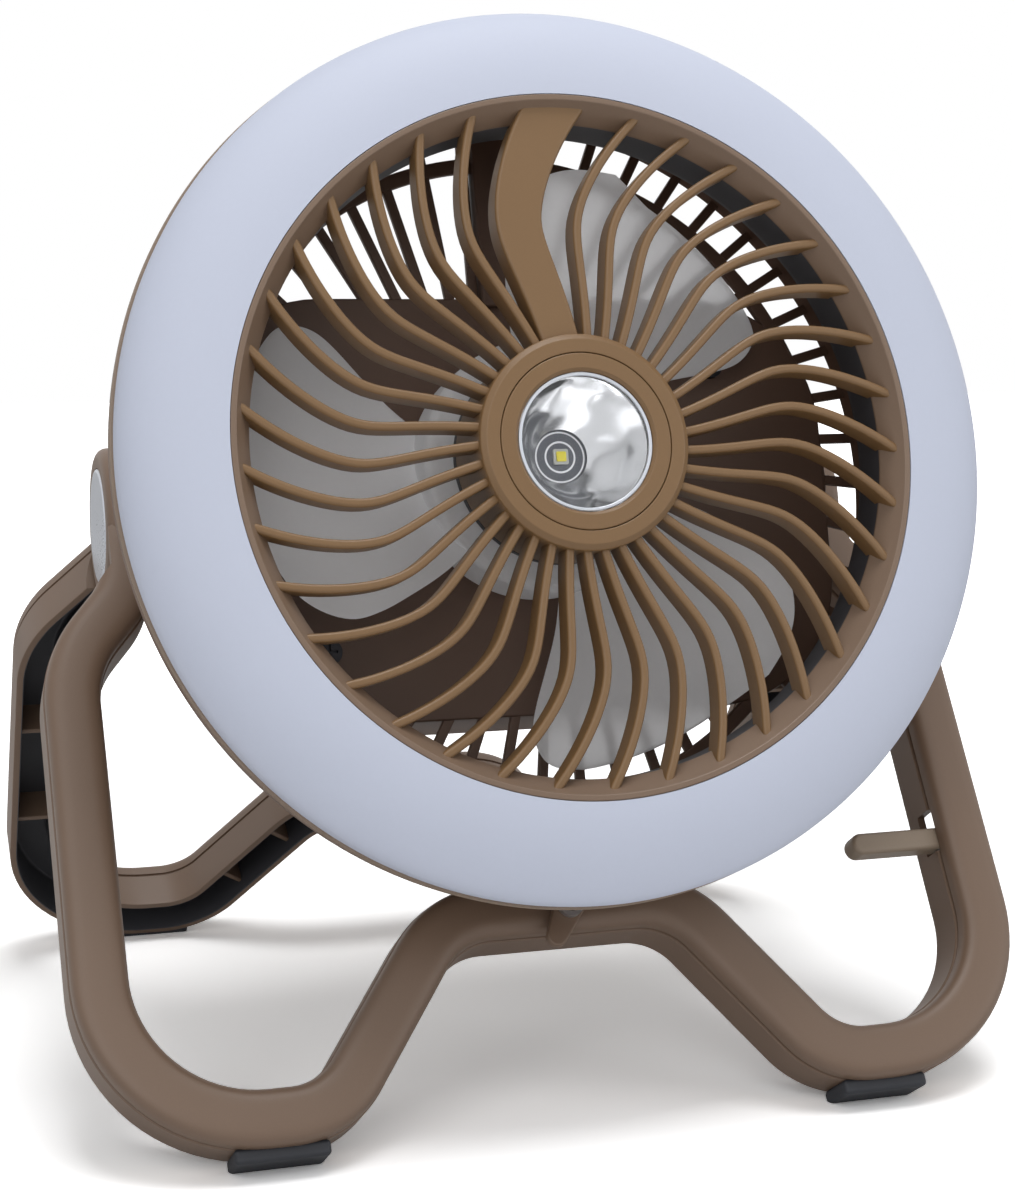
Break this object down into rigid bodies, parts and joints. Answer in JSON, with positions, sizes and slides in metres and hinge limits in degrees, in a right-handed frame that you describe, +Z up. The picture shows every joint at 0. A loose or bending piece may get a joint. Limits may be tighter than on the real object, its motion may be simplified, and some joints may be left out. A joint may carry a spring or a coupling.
{
  "type": "portable camping fan",
  "caption": "Round tabletop fan with a ring light and central spotlight, tilting between two folding frames, with a rear battery pod, swivel latch and hanging hook.",
  "frame": {"origin": "middle of the footprint on the ground, with the stand open", "axes": "+Z up, the light and fan face -Y, the pivots run along X"},
  "size_m": [0.226, 0.2082, 0.2495],
  "materials": {
    "frame_taupe": "fine grain",
    "pads": "matt",
    "caps": "satin silver white",
    "screws": "bright",
    "rim": "fine grain",
    "diffuser": "translucent",
    "grille_brown": "fine grain",
    "guard_brown": "fine grain",
    "dark_plastic": "satin",
    "flap_rubber": "matt",
    "impeller": "translucent grey",
    "board_white": "solder mask",
    "board_green": "solder mask",
    "led_chips": "clear coated",
    "lens": "polished",
    "mirror_metal": "facetted mirror",
    "star_board": "satin",
    "motor_steel": "brushed",
    "brass_nut": "bright",
    "cell_wrap": "shrink wrap",
    "window": "clear",
    "washer": "slippery"
  },
  "bodies": {
    "front_stand": {"front_frame": "frame_taupe", "front_pads": "pads", "pivot_cap_left": "caps", "pivot_cap_right": "caps", "latch_screw": "screws", "hook_pin": "screws"},
    "rear_stand": {"rear_frame": "frame_taupe", "rear_pads": "pads"},
    "head": {"light_tray": "rim", "ring_board": "board_white", "ring_leds": "led_chips", "ring_diffuser": "diffuser", "front_grille": "grille_brown", "grille_screws": "screws", "spot_bezel": "grille_brown", "spot_lens": "lens", "spot_reflector": "mirror_metal", "spot_led": "led_chips", "spot_board": "star_board", "spot_cup": "dark_plastic", "motor": "motor_steel", "motor_screws": "screws", "rear_guard": "guard_brown", "pod_housing": "guard_brown", "pod_screws": "screws", "pod_cover": "guard_brown", "cover_screws": "screws", "battery_cells": "cell_wrap", "battery_holder": "dark_plastic", "main_board": "board_green", "tact_switches": "dark_plastic", "usb_port": "motor_steel", "indicator_window": "window", "flap_pin": "screws", "pivot_bolt_left": "screws", "pivot_bolt_right": "screws", "pivot_washers": "washer", "pivot_nuts": "screws"},
    "fan_rotor": {"fan_impeller": "impeller", "impeller_nut": "brass_nut", "motor_shaft": "screws"},
    "fan_button": {"fan_button": "dark_plastic"},
    "light_button": {"light_button": "dark_plastic"},
    "port_flap": {"port_flap": "flap_rubber"},
    "swivel_latch": {"swivel_latch": "frame_taupe"},
    "hang_hook": {"hang_hook": "frame_taupe"}
  },
  "joints": [
    {"name": "head_tilt", "type": "hinge", "parent": "front_stand", "child": "head", "pos_m": [0, 0.00334, 0.13056], "axis": [-1, 0, 0], "range_deg": [-1, 130]},
    {"name": "stand_fold", "type": "hinge", "parent": "front_stand", "child": "rear_stand", "pos_m": [0, 0.00334, 0.13056], "axis": [-1, 0, 0], "range_deg": [0, 67]},
    {"name": "fan_spin", "type": "hinge", "parent": "head", "child": "fan_rotor", "pos_m": [0, -0.06758, 0.15171], "axis": [0, -0.9632, 0.2689], "continuous": true},
    {"name": "fan_button_press", "type": "slide", "parent": "head", "child": "fan_button", "axis": [0, -0.9632, 0.2689], "range_m": [0, 0.0008], "stiffness_N_per_m": 400},
    {"name": "light_button_press", "type": "slide", "parent": "head", "child": "light_button", "axis": [0, -0.9632, 0.2689], "range_m": [0, 0.0008], "stiffness_N_per_m": 400},
    {"name": "port_flap_open", "type": "hinge", "parent": "head", "child": "port_flap", "pos_m": [0, 0.01533, 0.10136], "axis": [1, 0, 0], "range_deg": [0, 110]},
    {"name": "latch_turn", "type": "hinge", "parent": "front_stand", "child": "swivel_latch", "pos_m": [0, -0.07209, 0.04808], "axis": [0, -0.831, 0.5563], "range_deg": [-40, 100]},
    {"name": "hook_lift", "type": "hinge", "parent": "front_stand", "child": "hang_hook", "pos_m": [0.1065, -0.05907, 0.05333], "axis": [0, 0.831, -0.5563], "range_deg": [0, 28]}
  ]
}
